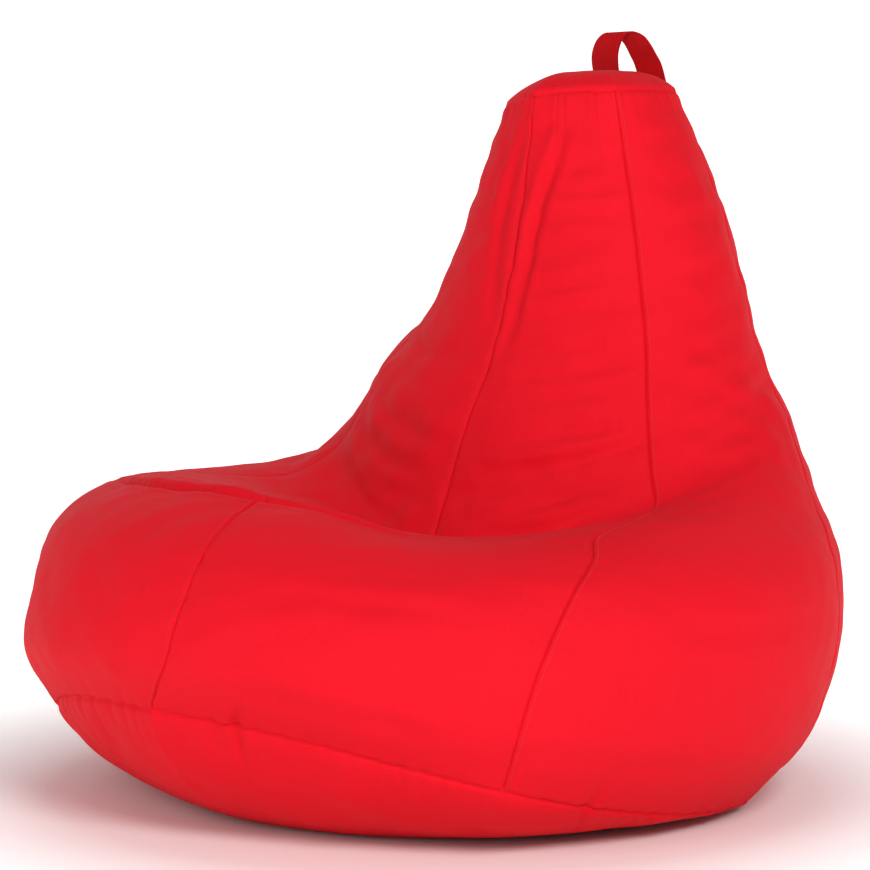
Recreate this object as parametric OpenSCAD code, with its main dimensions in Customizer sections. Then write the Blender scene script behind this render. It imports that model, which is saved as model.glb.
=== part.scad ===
// Bean bag chair: six-gore cover, cap, base, back zip, hang loop, liner with its own zip, bead filling.
// Millimetres. Z up, front lobe toward -Y, floor at z = 0. Angles run from the front round to +X.

/* [Overall size] */
// Front of the lobe to the back of the filled cover
body_d = 966; // [720:1:1250]
// Side to side across the filled cover
body_w = 960; // [720:1:1250]
// Floor to the middle of the cap seam
body_h = 835; // [640:1:1050]

/* [Cloth] */
// Cover cloth with its coating
cover_t = 1.2; // [0.8:0.1:2.5]
// Liner cloth
liner_t = 0.9; // [0.6:0.1:2]
// Room between cover and liner
liner_gap = 3; // [2:0.5:8]
// Extra room behind the cover zip
zip_room = 4; // [3:0.5:8]
// Room between liner and beads
bead_gap = 2; // [0.5:0.5:4]
// Cut line between two sewn panels
seam_cut = 0.3; // [0.1:0.05:0.6]

/* [Zips] */
// Half opening between the folded cover edges over the zip
zip_slot = 4.6; // [4:0.1:8]
// Width of one zip tape
tape_w = 14; // [12:1:22]
// Thickness of a zip tape
tape_t = 0.7; // [0.4:0.1:1.2]
// Height of a coil above its tape
coil_h = 1.8; // [1.2:0.1:3]
// Width of one coil
coil_w = 2.5; // [1.8:0.1:3.5]
// Gap between the two halves of a zip
zip_split = 1.4; // [1:0.1:2]
// Slider length along the zip
slider_l = 13; // [9:1:20]
// Length of the pull tab
pull_l = 32; // [20:1:45]
// Length of the liner's filling zip
liner_zip_l = 150; // [100:5:170]

/* [Hang loop] */
// Webbing width
web_w = 38; // [25:1:50]
// Webbing thickness
web_t = 1.8; // [1.2:0.1:3]
// Height of the loop above the cap seam
loop_h = 72; // [50:1:110]
// Distance between the two sewn ends, middle to middle
loop_gap = 60; // [50:1:90]

/* [Hidden] */

// The slumped shape, drawn for a bag 926 deep, 920 wide and 800 high: one row per ring, base seam
// to cap seam. Front, back, right and left reach; height at front, back, right and left; bulge of
// each gore between its seams; sag under the sitter's thighs; turn of the two front seams.
draw_d = 926;
draw_w = 920;
draw_h = 800;
rings = [
  [-445, 335, 398, -415, 146,  10,  32,  22, -.05,   0, 5,  0],
  [-464, 412, 442, -452, 200,  84,  98,  88, -.01,   0, 9, -2],
  [-448, 452, 456, -458, 256, 185, 190, 195, 0,   0, 9, -2],
  [-406, 462, 440, -462, 310, 268, 260, 282, 0,  -6, 9,  0],
  [-338, 460, 410, -438, 346, 316, 298, 320, 0, -18, 7,  1],
  [-264, 457, 376, -398, 358, 345, 320, 332, 0, -32, 4, -1],
  [-185, 453, 345, -362, 330, 374, 340, 344, 0, -20, 2,  0],
  [-100, 448, 312, -330, 292, 404, 360, 366, 0,   0, 2,  0],
  [ -25, 443, 282, -304, 272, 436, 385, 420, 0,   0, 2,  0],
  [  10, 437, 252, -282, 325, 475, 420, 462, 0,   0, 3,  0],
  [  40, 428, 226, -254, 408, 520, 470, 500, 0,   0, 4,  0],
  [  75, 414, 202, -206, 490, 575, 535, 545, 0,   0, 4, -1],
  [ 108, 400, 172, -170, 590, 640, 622, 610, .01, 0, 4, -3],
  [ 132, 382, 137, -133, 690, 710, 705, 695, 0,   0, 3, -3],
  [ 146, 352, 108,  -98, 782, 780, 788, 768, -.08, 0, 2, -2]];
top_ring = len(rings) - 1;
sag_at = 32;
sag_w = 24;
centre_deg = 40;
arc_deg = 14;
sx = body_w / draw_w;
sy = body_d / draw_d;
sz = body_h / draw_h;

// Panels are drawn as facets: this many across a gore, up a gore, and in across the base and cap.
// The first facet beside a seam is narrow, so that the cloth lies flat over the zip tape.
n_across = 9;
n_up = 24;
n_in = 6;
n_cap = 4;
gore_deg = 60;
seam_deg = 2.4;
function col(j) = j == 0 ? 0 : j == n_across ? gore_deg
  : seam_deg + (gore_deg - 2*seam_deg)*(j - 1)/(n_across - 2);
round_th = [for (i = [0:5]) for (j = [0:n_across - 1]) gore_deg*i + col(j)];

function catmull(a, b, c, d, f) =
  b + .5*f*(c - a + f*(2*a - 5*b + 4*c - d + f*(3*(b - c) + d - a)));
function ring(v) = let(i = max(0, min(floor(v), top_ring - 1)), b = rings[i], c = rings[i + 1],
    a = i > 0 ? rings[i - 1] : 2*b - c, d = i < top_ring - 1 ? rings[i + 2] : 2*c - b)
  catmull(a, b, c, d, v - i);
function turn(a) = (a % 360 + 540) % 360 - 180;
function near(a, w) = abs(a) < w ? pow(cos(90*a/w), 2) : 0;
function gore_arch(th) = let(a = (th % gore_deg + gore_deg) % gore_deg - gore_deg/2)
  (cos(gore_deg/2)/cos(a) - 1) / (cos(gore_deg/2) - 1);

// Circle through three points of the centre back seam; the zip is sewn along it.
zip_lo = 1;
zip_hi = 10;
function back(i) = [rings[i][1]*sy, rings[i][5]*sz];
function circle3(p, q, r) = let(a = q - p, b = r - p, d = 2*(a.x*b.y - a.y*b.x),
    c = [(b.y*(a*a) - a.y*(b*b))/d, (a.x*(b*b) - b.x*(a*a))/d]) [p.x + c.x, p.y + c.y, norm(c)];
zip_c = circle3(back(zip_lo), back(3), back(zip_hi));
zip_r = zip_c[2];
function arc_y(z) = zip_c[0] + sqrt(max(0, zip_r*zip_r - pow(z - zip_c[1], 2)));

// Outer face of the filled cover at angle th and height v, counted in rings.
function skin0(th, v) = let(q = ring(v),
    w = th + q[10]*near(turn(th), gore_deg) + q[11]*near(turn(th - gore_deg), gore_deg),
    c = cos(w), s = sin(w), g = 1 + q[8]*gore_arch(th),
    z = (q[4] + q[5] + q[6] + q[7])/4 + (q[4] - q[5])/2*c + (q[6] - q[7])/2*s
      + (q[4] + q[5] - q[6] - q[7])/4*cos(2*w) + q[9]*exp(-pow(turn(th - sag_at)/sag_w, 2)),
    x = (q[2] + q[3])/2*(1 - near(turn(th - 180), centre_deg)) + (q[2] - q[3])/2*s*g,
    y = (q[0] + q[1])/2 - (q[1] - q[0])/2*c*g,
    on_arc = near(turn(th - 180), arc_deg)*max(0, min(1, 2*(v - zip_lo), 2*(zip_hi - v))))
  [x*sx, y*sy + on_arc*(arc_y(q[5]*sz) - q[1]*sy), z*sz];

// Middle of the cover's outline in plan, so that the part stands centred on the origin.
plan = [for (a = round_th) for (k = [0:n_up]) skin0(a, k*top_ring/n_up)];
xs = [for (p = plan) p.x];
ys = [for (p = plan) p.y];
mid = [(max(xs) + min(xs))/2, (max(ys) + min(ys))/2, 0];
zip_x = -mid.x;
zip_y = zip_c[0] - mid.y;
zip_z = zip_c[1];
function skin(th, v) = skin0(th, v) - mid;
function inset(th, v, d) = let(e = .5, f = .02, u = max(f, min(top_ring - f, v)),
    n = cross(skin(th + e, u) - skin(th - e, u), skin(th, u + f) - skin(th, u - f)))
  skin(th, v) - d*n/norm(n);

// Solid skins: two stacked point grids joined round their edges.
function flat_list(g) = [for (r = g) for (p = r) p];
function quad(a, b, c, d) = [[a, b, c], [a, c, d]];
module shell(outer, inner) {
  nu = len(outer) - 1;
  nv = len(outer[0]) - 1;
  m = (nu + 1)*(nv + 1);
  function at(i, j) = i*(nv + 1) + j;
  faces = flat_list([
    for (i = [0:nu - 1]) for (j = [0:nv - 1]) quad(at(i, j), at(i, j + 1), at(i + 1, j + 1), at(i + 1, j)),
    for (i = [0:nu - 1]) for (j = [0:nv - 1])
      quad(m + at(i, j), m + at(i + 1, j), m + at(i + 1, j + 1), m + at(i, j + 1)),
    for (j = [0:nv - 1]) quad(at(0, j), m + at(0, j), m + at(0, j + 1), at(0, j + 1)),
    for (j = [0:nv - 1]) quad(at(nu, j), at(nu, j + 1), m + at(nu, j + 1), m + at(nu, j)),
    for (i = [0:nu - 1]) quad(at(i, 0), at(i + 1, 0), m + at(i + 1, 0), m + at(i, 0)),
    for (i = [0:nu - 1]) quad(at(i, nv), m + at(i, nv), m + at(i + 1, nv), at(i + 1, nv))]);
  polyhedron(concat(flat_list(outer), flat_list(inner)), faces);
}

// Closed stack of rings, first and last drawn in to a middle point.
module stack(loops, first, last) {
  n = len(loops[0]);
  k = len(loops);
  function at(i, j) = j*n + i % n;
  faces = flat_list([
    for (j = [0:k - 2]) for (i = [0:n - 1]) quad(at(i, j), at(i, j + 1), at(i + 1, j + 1), at(i + 1, j)),
    [for (i = [0:n - 1]) [k*n, at(i, 0), at(i + 1, 0)]],
    [for (i = [0:n - 1]) [k*n + 1, at(i + 1, k - 1), at(i, k - 1)]]]);
  polyhedron(concat(flat_list(loops), [first, last]), faces);
}

// Rows of a gore. The two back gores stand apart over the zip.
zip_first = 2;
zip_last = 16;
edge_deg = .03;
function row_v(k) = k*top_ring/n_up;
function open_x(x, side, k) =
  k >= zip_first && k <= zip_last ? zip_x + side*max(abs(x - zip_x), zip_slot) : x;
function gore_th(i, j) = gore_deg*i + col(j) + (j == 0 ? edge_deg : j == n_across ? -edge_deg : 0);
function gore_pt(i, j, k, d) = let(p = inset(gore_th(i, j), row_v(k), d))
  i == 2 && j == n_across ? [open_x(p.x, 1, k), p.y, p.z]
  : i == 3 && j == 0 ? [open_x(p.x, -1, k), p.y, p.z] : p;

module cover_gore(i) {
  color([.86, .1, .15])
  shell([for (j = [0:n_across]) [for (k = [0:n_up]) gore_pt(i, j, k, 0)]],
    [for (j = [0:n_across]) [for (k = [0:n_up]) gore_pt(i, j, k, cover_t)]]);
}
module cover_gore_front_right() cover_gore(0);
module cover_gore_right() cover_gore(1);
module cover_gore_back_right() cover_gore(2);
module cover_gore_back_left() cover_gore(3);
module cover_gore_left() cover_gore(4);
module cover_gore_front_left() cover_gore(5);

// Cap: a shallow dome sewn to the top of the gores, lifted a little where the webbing goes in.
cap_rise = 12;
loop_at = 187;
lift_deg = 70;
function rim(th) = skin(th, top_ring);
function middle(s) = [for (c = [0:2]) [for (p = s) p[c]] * [for (p = s) 1] / len(s)];
cap_mid = middle([for (t = round_th) rim(t)]);
function lift(th) = seam_cut + (web_t + seam_cut)*min(1, 2*near(turn(th - loop_at), lift_deg));
function cap_pt(th, w, up) = let(p = rim(th), q = p*(1 - w) + cap_mid*w)
  [q.x, q.y, q.z + lift(th)*(1 - w) + cap_rise*sin(90*w*(2 - w)) + up];
cap_hub = cap_mid + [0, 0, cap_rise];
module cover_cap() {
  color([.9, .12, .17])
  stack(concat([for (w = [n_cap:-1:0]) [for (t = round_th) cap_pt(t, w/(n_cap + 1), 0)]],
      [for (w = [0:n_cap]) [for (t = round_th) cap_pt(t, w/(n_cap + 1), cover_t)]]),
    cap_hub, cap_hub + [0, 0, cover_t]);
}

// Base: out of the base seam, down and in to the flat patch on the floor.
rest_w = 265*sx;
rest_d = 255*sy;
rest_y = -15*sy;
under_round = .65;
room_deg = 40;
function room(th, r) = r*near(turn(th - 180), room_deg);
function bowl(w) = [under_round*(1 - cos(90*w)) + (1 - under_round)*w,
  under_round*sin(90*w) + (1 - under_round)*w];
function base_pt(th, w, d, r, drop) = let(p = inset(th, 0, d + room(th, r)) - [0, 0, drop], b = bowl(w),
    c = [rest_w*sin(th) - mid.x, rest_y - rest_d*cos(th) - mid.y])
  [p.x + (c.x - p.x)*b[0], p.y + (c.y - p.y)*b[0], d + (p.z - d)*(1 - b[1])];
function base_rings(d, r, drop, order) = [for (w = order) [for (t = round_th) base_pt(t, w/n_in, d, r, drop)]];
function base_hub(d) = [-mid.x, rest_y - mid.y, d];
module base_panel(d, t, r) {
  stack(concat(base_rings(d, r, seam_cut, [n_in:-1:0]), base_rings(d + t, r, seam_cut, [0:n_in])),
    base_hub(d), base_hub(d + t));
}
module cover_base() color([.78, .08, .13]) base_panel(0, cover_t, 0);

// Hang loop: webbing bent over, both ends tucked out of the cap seam.
end_tuck = 16;
end_clear = 2.2;
end_out = .4;
end_top = 5;
n_end = 6;
rim_r = norm(rim(loop_at) - cap_mid);
end_deg = asin(loop_gap/2/rim_r);
half_web_deg = asin(web_w/2/rim_r);
function outward(th) = let(t = rim(th + 4) - rim(th - 4), u = [t.y, -t.x, 0]) u/norm(u);
function end_pt(th, rho, z) = rim(th) + rho*outward(th) + [0, 0, z];
end_low = [[-end_clear - cover_t, -end_tuck], [-end_clear - cover_t, seam_cut],
  [end_out + web_t, seam_cut], [end_out + web_t, end_top]];
end_high = [[-end_clear - cover_t - web_t, -end_tuck], [-end_clear - cover_t - web_t, seam_cut + web_t],
  [end_out, seam_cut + web_t], [end_out, end_top]];
module loop_end(at) {
  ths = [for (i = [0:n_end]) at + half_web_deg*(2*i/n_end - 1)];
  color([.7, .05, .1])
  shell([for (t = ths) [for (p = end_low) end_pt(t, p[0], p[1])]],
    [for (t = ths) [for (p = end_high) end_pt(t, p[0], p[1])]]);
}
module hang_loop_end_left() loop_end(loop_at + end_deg);
module hang_loop_end_right() loop_end(loop_at - end_deg);

// Path of the webbing: along the seam (in half gaps), forward and up (in loop heights).
loop_path = [[-1, 0, 0], [-1, .17, .18], [-.97, .29, .38], [-.87, .38, .63], [-.6, .42, .86],
  [-.2, .41, .98], [.27, .36, .93], [.53, .29, .79], [.67, .19, .61], [.8, .11, .44],
  [.93, .04, .16], [1, 0, 0]];
loop_rise = .9;
n_loop = 2;
end_l = end_pt(loop_at + end_deg, end_out + web_t/2, end_top);
end_r = end_pt(loop_at - end_deg, end_out + web_t/2, end_top);
flop = [(end_l.x + end_r.x)/2, (end_l.y + end_r.y)/2, max(end_l.z, end_r.z) + loop_rise];
flop_dir = let(u = [end_r.x - end_l.x, end_r.y - end_l.y, 0]) u/norm(u);
function path_at(u) = let(i = min(floor(u), len(loop_path) - 2), b = loop_path[i], c = loop_path[i + 1],
    a = i > 0 ? loop_path[i - 1] : 2*b - c, d = i < len(loop_path) - 2 ? loop_path[i + 2] : 2*c - b)
  catmull(a, b, c, d, u - i);
function loop_2d(u) = let(p = path_at(u)) [p[0]*loop_gap/2, p[1]*loop_h, p[2]*loop_h + loop_rise];
function loop_pt(u, across, side) = let(p = loop_2d(u), last = len(loop_path) - 1,
    t = loop_2d(min(last, u + .05)) - loop_2d(max(0, u - .05)), n = [t[2], -t[1]]/norm([t[1], t[2]]),
    q = [p[0] + across, p[1] + side*n[0]*web_t/2, max(loop_rise/2, p[2] + side*n[1]*web_t/2)],
    fwd = [flop_dir.y, -flop_dir.x, 0])
  flop + q[0]*flop_dir + q[1]*fwd + [0, 0, q[2]];
module hang_loop() {
  us = [for (k = [0:n_loop*(len(loop_path) - 1)]) k/n_loop];
  color([.7, .05, .1])
  shell([for (a = [-web_w/2, web_w/2]) [for (u = us) loop_pt(u, a, 1)]],
    [for (a = [-web_w/2, web_w/2]) [for (u = us) loop_pt(u, a, -1)]]);
}

// Zip sections: half widths across the zip and heights from the cloth's outer face.
tape_drop = 2.2;
plate_t = 1.4;
plate_gap = .3;
slider_w = 4.2;
wing_t = .7;
web_half = .4;
tape_edge = zip_split/2;
coil_edge = tape_edge + coil_w;
function tape_hi(t) = -t - tape_drop;
function tape_lo(t) = tape_hi(t) - tape_t;
function plate_lo(t) = max(0, tape_hi(t) + coil_h) + plate_gap;
module tape_2d(t, side) translate([side < 0 ? -tape_edge - tape_w : tape_edge, tape_lo(t)]) square([tape_w, tape_t]);
module coil_2d(t, side) translate([side < 0 ? -coil_edge : tape_edge, tape_hi(t)]) square([coil_w, coil_h]);
module stop_2d(t) translate([-coil_edge, tape_hi(t)]) square([2*coil_edge, coil_h]);
module slider_2d(t) {
  foot = tape_lo(t) - plate_gap - plate_t;
  translate([-slider_w, plate_lo(t)]) square([2*slider_w, plate_t]);
  translate([-slider_w, foot]) square([2*slider_w, plate_t]);
  translate([-web_half, foot]) square([2*web_half, plate_lo(t) - foot + plate_t]);
  for (x = [-slider_w, slider_w - wing_t])
    translate([x, tape_hi(t) + plate_gap]) square([wing_t, plate_lo(t) - tape_hi(t)]);
}

// Cover zip: everything is turned about one axis, level and side to side.
mm_deg = 180/PI/zip_r;
stop_l = 4;
tape_tail = 8;
slider_room = 1;
slot_lo = asin((ring(row_v(zip_first))[5]*sz - zip_z)/zip_r);
slot_hi = asin((ring(row_v(zip_last))[5]*sz - zip_z)/zip_r);
slider_at = slot_lo + (stop_l + slider_room + slider_l/2)*mm_deg;
slider_end = slot_hi - (stop_l + slider_room + slider_l/2)*mm_deg;
module about_zip(a) translate([zip_x, zip_y, zip_z]) rotate([a, 0, 0]) children();
module swept(a, b) about_zip(a) rotate([0, 90, 0]) rotate([0, 0, 90])
  rotate_extrude(angle = b - a, $fn = 360) rotate(-90) mirror([1, 0]) translate([0, zip_r]) children();
module cover_zip_tape(side) color([.75, .07, .12])
  swept(slot_lo - tape_tail*mm_deg, slot_hi + tape_tail*mm_deg) tape_2d(cover_t, side);
module cover_zip_coil(side) color([.6, .05, .09])
  swept(slot_lo + stop_l*mm_deg, slot_hi - stop_l*mm_deg) coil_2d(cover_t, side);
module cover_zip_tape_left() cover_zip_tape(-1);
module cover_zip_tape_right() cover_zip_tape(1);
module cover_zip_coil_left() cover_zip_coil(-1);
module cover_zip_coil_right() cover_zip_coil(1);
module cover_zip_bottom_stop() color([.7, .7, .72]) swept(slot_lo, slot_lo + stop_l*mm_deg) stop_2d(cover_t);
module cover_zip_top_stop() color([.7, .7, .72]) swept(slot_hi - stop_l*mm_deg, slot_hi) stop_2d(cover_t);

// Slider with a bar for the pull; the pull's eye turns on the bar and the tab hangs straight down.
bar_r = 1;
eye_r = 2.2;
eye_bore = 1.1;
eye_half = 2.3;
post_in = 2.6;
post_l = 3.2;
bar_h = 4.4;
post_h = 5.6;
pull_half = 4;
pull_t = 1.4;
neck_l = 6.5;
hole_r = 1.8;
hole_in = 5;
module slider_lug(t) {
  top = plate_lo(t) + plate_t;
  for (x = [-slider_w, post_in])
    translate([x, top - plate_gap, -post_l/2]) cube([slider_w - post_in, post_h - top + plate_gap, post_l]);
  translate([-slider_w + web_half, bar_h, 0]) rotate([0, 90, 0])
    cylinder(r = bar_r, h = 2*(slider_w - web_half), $fn = 48);
}
module cover_zip_slider() color([.72, .72, .74]) {
  swept(slider_at - slider_l/2*mm_deg, slider_at + slider_l/2*mm_deg) slider_2d(cover_t);
  about_zip(slider_at) translate([0, zip_r, 0]) slider_lug(cover_t);
}
module cover_zip_pull() color([.72, .72, .74])
  about_zip(slider_at) translate([0, zip_r + bar_h, 0]) rotate([-slider_at, 0, 0]) difference() {
    union() {
      translate([-eye_half, 0, 0]) rotate([0, 90, 0]) cylinder(r = eye_r, h = 2*eye_half, $fn = 48);
      translate([-eye_half, -pull_t/2, -neck_l]) cube([2*eye_half, pull_t, neck_l]);
      translate([-pull_half, -pull_t/2, -pull_l]) cube([2*pull_half, pull_t, pull_l - neck_l + web_half]);
    }
    translate([-pull_half, 0, 0]) rotate([0, 90, 0]) cylinder(r = eye_bore, h = 2*pull_half, $fn = 48);
    translate([0, pull_t, hole_in - pull_l]) rotate([90, 0, 0]) cylinder(r = hole_r, h = 2*pull_t, $fn = 48);
  }

// Liner: the same gores a little inside the cover, gathered to a level top with a straight zip.
liner_d = cover_t + liner_gap;
liner_drop = 14;
liner_v = 13.8;
liner_top = min([for (t = round_th) rim(t).z]) - liner_drop;
function liner_pt(th, k, d) = let(p = inset(th, k < n_up ? row_v(k) : liner_v, d + room(th, zip_room)))
  k < n_up ? p : [p.x, p.y, liner_top];
module liner_gore(i) {
  color([.93, .93, .9])
  shell([for (j = [0:n_across]) [for (k = [0:n_up]) liner_pt(gore_th(i, j), k, liner_d)]],
    [for (j = [0:n_across]) [for (k = [0:n_up]) liner_pt(gore_th(i, j), k, liner_d + liner_t)]]);
}
module liner_gore_front_right() liner_gore(0);
module liner_gore_right() liner_gore(1);
module liner_gore_back_right() liner_gore(2);
module liner_gore_back_left() liner_gore(3);
module liner_gore_left() liner_gore(4);
module liner_gore_front_left() liner_gore(5);
module liner_base() color([.93, .93, .9]) base_panel(liner_d, liner_t, zip_room);

liner_rim = [for (t = round_th) liner_pt(t, n_up, liner_d)];
liner_mid = middle(liner_rim);
far = 2*body_w;
module liner_cap(side) color([.93, .93, .9])
  translate([0, 0, liner_top + seam_cut]) linear_extrude(liner_t) difference() {
    polygon([for (p = liner_rim) [p.x, p.y]]);
    translate([-far/2, liner_mid.y + (side < 0 ? -seam_cut/2 : -far + seam_cut/2)]) square(far);
    translate([liner_mid.x - liner_zip_l/2, liner_mid.y - zip_slot]) square([liner_zip_l, 2*zip_slot]);
  }
module liner_cap_front() liner_cap(-1);
module liner_cap_back() liner_cap(1);

// Liner zip: the same sections, straight along X; its slider has no tab, so children can't open it.
module along(a, b) translate([liner_mid.x + a, liner_mid.y, liner_top + seam_cut + liner_t])
  rotate([90, 0, 90]) linear_extrude(b - a) children();
module liner_zip_tape(side) color([.9, .9, .87])
  along(-liner_zip_l/2 - tape_tail, liner_zip_l/2 + tape_tail) tape_2d(liner_t, side);
module liner_zip_coil(side) color([.8, .8, .78])
  along(stop_l - liner_zip_l/2, liner_zip_l/2 - stop_l) coil_2d(liner_t, side);
module liner_zip_tape_front() liner_zip_tape(-1);
module liner_zip_tape_back() liner_zip_tape(1);
module liner_zip_coil_front() liner_zip_coil(-1);
module liner_zip_coil_back() liner_zip_coil(1);
module liner_zip_stop_left() color([.7, .7, .72]) along(-liner_zip_l/2, stop_l - liner_zip_l/2) stop_2d(liner_t);
module liner_zip_stop_right() color([.7, .7, .72]) along(liner_zip_l/2 - stop_l, liner_zip_l/2) stop_2d(liner_t);
liner_slider_at = stop_l + slider_room - liner_zip_l/2;
module liner_zip_slider() color([.72, .72, .74])
  along(liner_slider_at, liner_slider_at + slider_l) slider_2d(liner_t);

// Beads: one heap filling the liner, level under the liner's zip.
bead_d = liner_d + liner_t + bead_gap;
bead_drop = 6;
bead_v = 13.7;
function bead_row(k) = [for (t = round_th)
  let(p = inset(t, k < n_up ? row_v(k) : bead_v, bead_d + room(t, zip_room)))
  k < n_up ? p : [p.x, p.y, liner_top - bead_drop]];
module bead_fill() color([.97, .97, .97])
  stack(concat(base_rings(bead_d, zip_room, 0, [n_in:-1:1]), [for (k = [0:n_up]) bead_row(k)]),
    base_hub(bead_d), [liner_mid.x, liner_mid.y, liner_top - bead_drop]);

cover_gore_front_right();
cover_gore_right();
cover_gore_back_right();
cover_gore_back_left();
cover_gore_left();
cover_gore_front_left();
cover_cap();
cover_base();
hang_loop();
hang_loop_end_left();
hang_loop_end_right();
cover_zip_tape_left();
cover_zip_tape_right();
cover_zip_coil_left();
cover_zip_coil_right();
cover_zip_top_stop();
cover_zip_bottom_stop();
cover_zip_slider();
cover_zip_pull();
liner_gore_front_right();
liner_gore_right();
liner_gore_back_right();
liner_gore_back_left();
liner_gore_left();
liner_gore_front_left();
liner_cap_front();
liner_cap_back();
liner_base();
liner_zip_tape_front();
liner_zip_tape_back();
liner_zip_coil_front();
liner_zip_coil_back();
liner_zip_stop_left();
liner_zip_stop_right();
liner_zip_slider();
bead_fill();
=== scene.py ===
import math

import bpy
import numpy as np
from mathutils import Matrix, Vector


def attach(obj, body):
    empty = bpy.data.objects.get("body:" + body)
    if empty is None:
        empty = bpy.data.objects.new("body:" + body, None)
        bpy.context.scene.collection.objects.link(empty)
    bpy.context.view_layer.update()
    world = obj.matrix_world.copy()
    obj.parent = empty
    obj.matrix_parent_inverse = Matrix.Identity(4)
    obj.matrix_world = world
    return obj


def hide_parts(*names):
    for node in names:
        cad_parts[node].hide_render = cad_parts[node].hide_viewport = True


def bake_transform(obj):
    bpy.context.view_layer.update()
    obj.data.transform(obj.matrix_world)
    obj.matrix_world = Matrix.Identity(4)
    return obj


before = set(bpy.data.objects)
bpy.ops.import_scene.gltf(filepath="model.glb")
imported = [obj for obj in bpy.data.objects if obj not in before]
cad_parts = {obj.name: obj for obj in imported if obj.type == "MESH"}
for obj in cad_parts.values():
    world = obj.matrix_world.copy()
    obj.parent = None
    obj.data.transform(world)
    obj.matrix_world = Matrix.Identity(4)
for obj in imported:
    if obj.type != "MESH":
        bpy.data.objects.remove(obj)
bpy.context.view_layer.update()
scene = bpy.context.scene

# ---------------------------------------------------------------------------
# Bead filling: one heap of expanded polystyrene beads, 3 to 6 mm across, poured
# into the liner. Its slump gives the chair its shape, so the shape is set here:
# one row for each ring up the bag, drawn 926 deep, 920 wide and 800 high.
# Front, back, right and left reach; heights there; arch; thigh sag; seam turns.
# ---------------------------------------------------------------------------
RINGS = np.array([
    [-445, 335, 398, -415, 146, 10, 32, 22, -.05, 0, 5, 0],
    [-464, 412, 442, -452, 200, 84, 98, 88, -.01, 0, 9, -2],
    [-448, 452, 456, -458, 256, 185, 190, 195, 0, 0, 9, -2],
    [-406, 462, 440, -462, 310, 268, 260, 282, 0, -6, 9, 0],
    [-338, 460, 410, -438, 346, 316, 298, 320, 0, -18, 7, 1],
    [-264, 457, 376, -398, 358, 345, 320, 332, 0, -32, 4, -1],
    [-185, 453, 345, -362, 330, 374, 340, 344, 0, -20, 2, 0],
    [-100, 448, 312, -330, 292, 404, 360, 366, 0, 0, 2, 0],
    [-25, 443, 282, -304, 272, 436, 385, 420, 0, 0, 2, 0],
    [10, 437, 252, -282, 325, 475, 420, 462, 0, 0, 3, 0],
    [40, 428, 226, -254, 408, 520, 470, 500, 0, 0, 4, 0],
    [75, 414, 202, -206, 490, 575, 535, 545, 0, 0, 4, -1],
    [108, 400, 172, -170, 590, 640, 622, 610, .01, 0, 4, -3],
    [132, 382, 137, -133, 690, 710, 705, 695, 0, 0, 3, -3],
    [146, 352, 108, -98, 782, 780, 788, 768, -.08, 0, 2, -2]], float)
TOP = len(RINGS) - 1
BODY_SIZE = np.array([.960, .966, .835])
DRAWN_SIZE = np.array([920, 926, 800])
SCALE = BODY_SIZE/DRAWN_SIZE
SAG_AT, SAG_WIDTH = 32, 24
CENTRE_BACK, CENTRE_WIDTH, ARC_WIDTH = 180, 40, 14
GORE = 60
ZIP_LOW, ZIP_MID, ZIP_HIGH = 1, 3, 10


def catmull(a, b, c, d, f):
    return b + .5*f*(c - a + f*(2*a - 5*b + 4*c - d + f*(3*(b - c) + d - a)))


def ring_at(v):
    i = np.clip(np.floor(v).astype(int), 0, TOP - 1)
    f = (v - i)[..., None]
    b, c = RINGS[i], RINGS[i + 1]
    a = np.where((i > 0)[..., None], RINGS[np.maximum(i - 1, 0)], 2*b - c)
    d = np.where((i < TOP - 1)[..., None], RINGS[np.minimum(i + 2, TOP)], 2*c - b)
    return catmull(a, b, c, d, f)


def turned(a):
    return (a + 180) % 360 - 180


def near(a, width):
    return np.where(np.abs(a) < width, np.cos(np.pi/2*a/width)**2, 0)


def gore_arch(th):
    edge = math.cos(math.radians(GORE/2))
    return (edge/np.cos(np.radians(th % GORE - GORE/2)) - 1)/(edge - 1)


def circle_through(p, q, r):
    a, b = q - p, r - p
    d = 2*(a[0]*b[1] - a[1]*b[0])
    c = np.array([b[1]*(a @ a) - a[1]*(b @ b), a[0]*(b @ b) - b[0]*(a @ a)])/d
    return p + c, np.linalg.norm(c)


zip_mid, zip_r = circle_through(*[RINGS[i][[1, 5]]*SCALE[1:] for i in (ZIP_LOW, ZIP_MID, ZIP_HIGH)])


def raw_skin(th, v):
    th, v = np.broadcast_arrays(np.asarray(th, float), np.asarray(v, float))
    q = np.moveaxis(ring_at(v), -1, 0)
    w = np.radians(th + q[10]*near(turned(th), GORE) + q[11]*near(turned(th - GORE), GORE))
    c, s, g = np.cos(w), np.sin(w), 1 + q[8]*gore_arch(th)
    z = (q[4] + q[5] + q[6] + q[7])/4 + (q[4] - q[5])/2*c + (q[6] - q[7])/2*s
    z = z + (q[4] + q[5] - q[6] - q[7])/4*np.cos(2*w)
    z = z + q[9]*np.exp(-(turned(th - SAG_AT)/SAG_WIDTH)**2)
    x = (q[2] + q[3])/2*(1 - near(turned(th - CENTRE_BACK), CENTRE_WIDTH)) + (q[2] - q[3])/2*s*g
    y = (q[0] + q[1])/2 - (q[1] - q[0])/2*c*g
    on_arc = near(turned(th - CENTRE_BACK), ARC_WIDTH)*np.clip(
        np.minimum(2*(v - ZIP_LOW), 2*(ZIP_HIGH - v)), 0, 1)
    arc_y = zip_mid[0] + np.sqrt(np.maximum(0, zip_r**2 - (q[5]*SCALE[2] - zip_mid[1])**2))
    return np.stack([x*SCALE[0], y*SCALE[1] + on_arc*(arc_y - q[1]*SCALE[1]), z*SCALE[2]], -1)


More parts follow.
